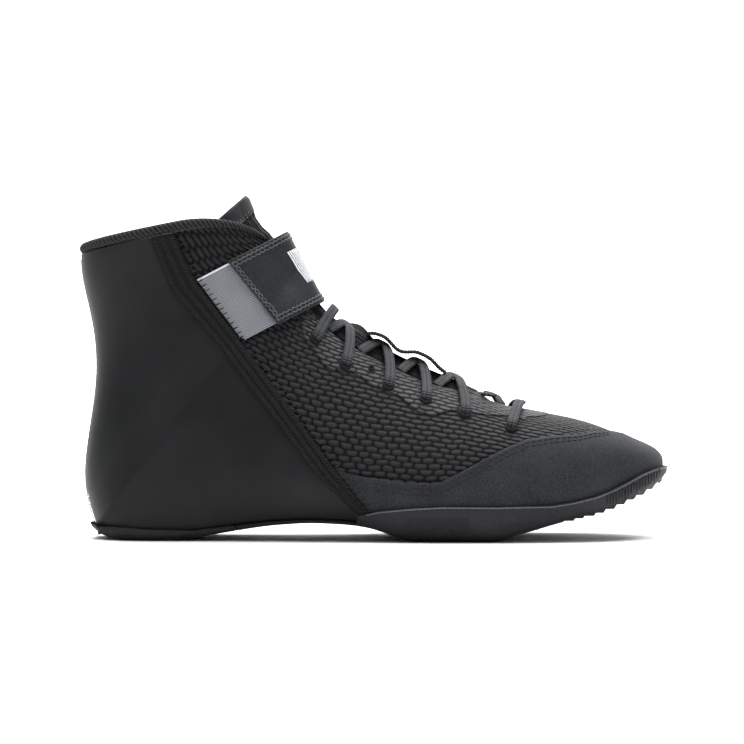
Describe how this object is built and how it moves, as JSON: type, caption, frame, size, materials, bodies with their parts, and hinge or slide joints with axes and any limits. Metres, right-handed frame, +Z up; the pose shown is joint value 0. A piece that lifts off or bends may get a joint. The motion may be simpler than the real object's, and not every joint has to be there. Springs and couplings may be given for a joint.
{
  "type": "wrestling shoe",
  "caption": "Black high-top wrestling shoe with mesh vamp, laced throat, ankle strap and split rubber sole, right foot.",
  "frame": {"origin": "floor under the middle of the shoe's outline", "axes": "+X to the toe, +Y to the inner side of the foot, +Z up"},
  "size_m": [0.2876, 0.0992, 0.167],
  "materials": {
    "mesh_cloth": "matte",
    "synthetic": "matte",
    "suede": "matte",
    "rubber": "matte",
    "insole_cloth": "matte",
    "tongue_mesh": "matte",
    "binding_cloth": "matte",
    "elastic": "matte",
    "lace": "matte"
  },
  "bodies": {
    "root": {"upper": "mesh_cloth", "heel_shell": "synthetic", "toe_wrap": "suede", "outsole_forefoot": "rubber", "outsole_heel": "rubber", "arch_panel": "synthetic", "insole": "insole_cloth", "tongue": "tongue_mesh", "tongue_binding": "binding_cloth", "collar_binding": "binding_cloth", "strap": "synthetic", "strap_elastic": "elastic", "strap_patch": "elastic", "lace_keeper": "lace", "lace_bar": "lace", "lace_top": "lace", "lace_cross_1": "lace", "lace_cross_2": "lace", "lace_cross_3": "lace", "lace_cross_4": "lace", "lace_cross_5": "lace"}
  },
  "joints": []
}
